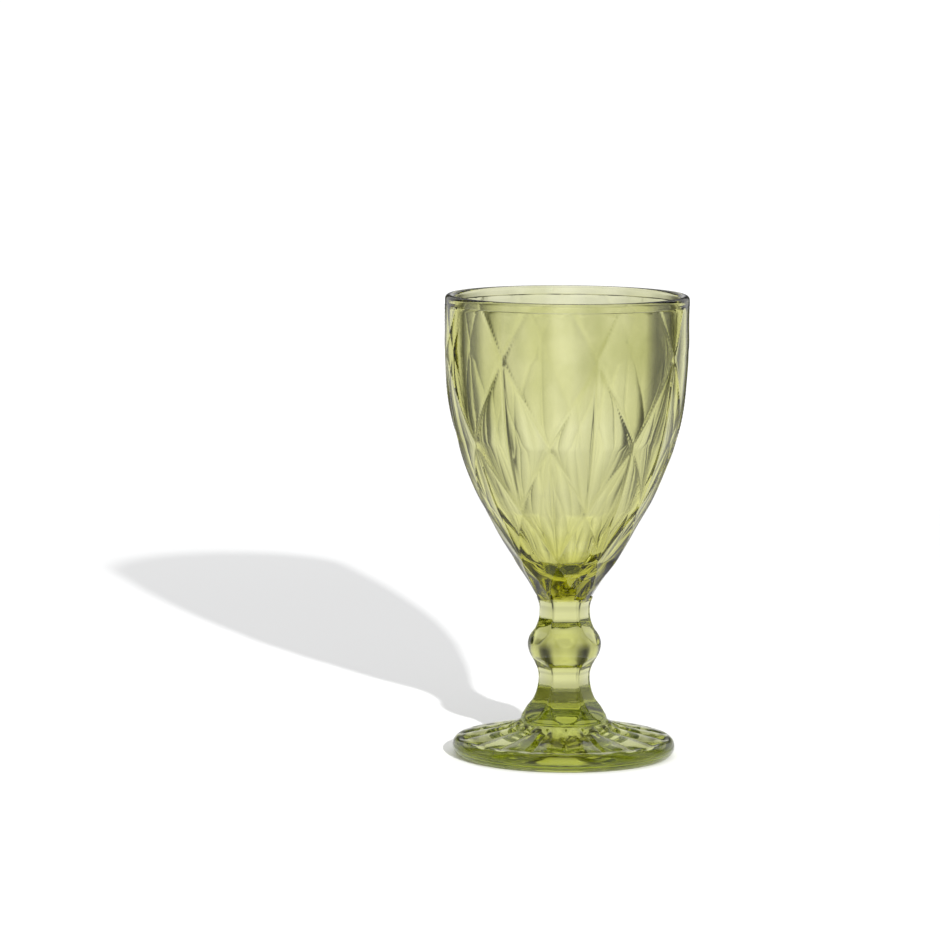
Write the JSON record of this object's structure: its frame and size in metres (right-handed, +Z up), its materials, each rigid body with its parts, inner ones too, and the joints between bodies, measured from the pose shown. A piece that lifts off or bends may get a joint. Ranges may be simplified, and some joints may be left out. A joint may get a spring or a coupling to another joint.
{
  "type": "wine glass",
  "caption": "Stemmed pressed-glass wine goblet with a diamond-lattice bowl, a six-sided stem with a knop and a fluted foot.",
  "frame": {"origin": "centre of the foot's underside, on the plane that the glass stands on", "axes": "+Z up along the glass's axis, -Y towards the viewer of the front"},
  "size_m": [0.0868, 0.0868, 0.165],
  "materials": {
    "bowl_glass": "clear olive-green pressed glass, fire polished",
    "stem_glass": "clear olive-green pressed glass, thick, fire polished",
    "foot_glass": "clear olive-green pressed glass, thick, fire polished"
  },
  "bodies": {
    "root": {"bowl": "bowl_glass", "stem": "stem_glass", "foot": "foot_glass"}
  },
  "joints": []
}
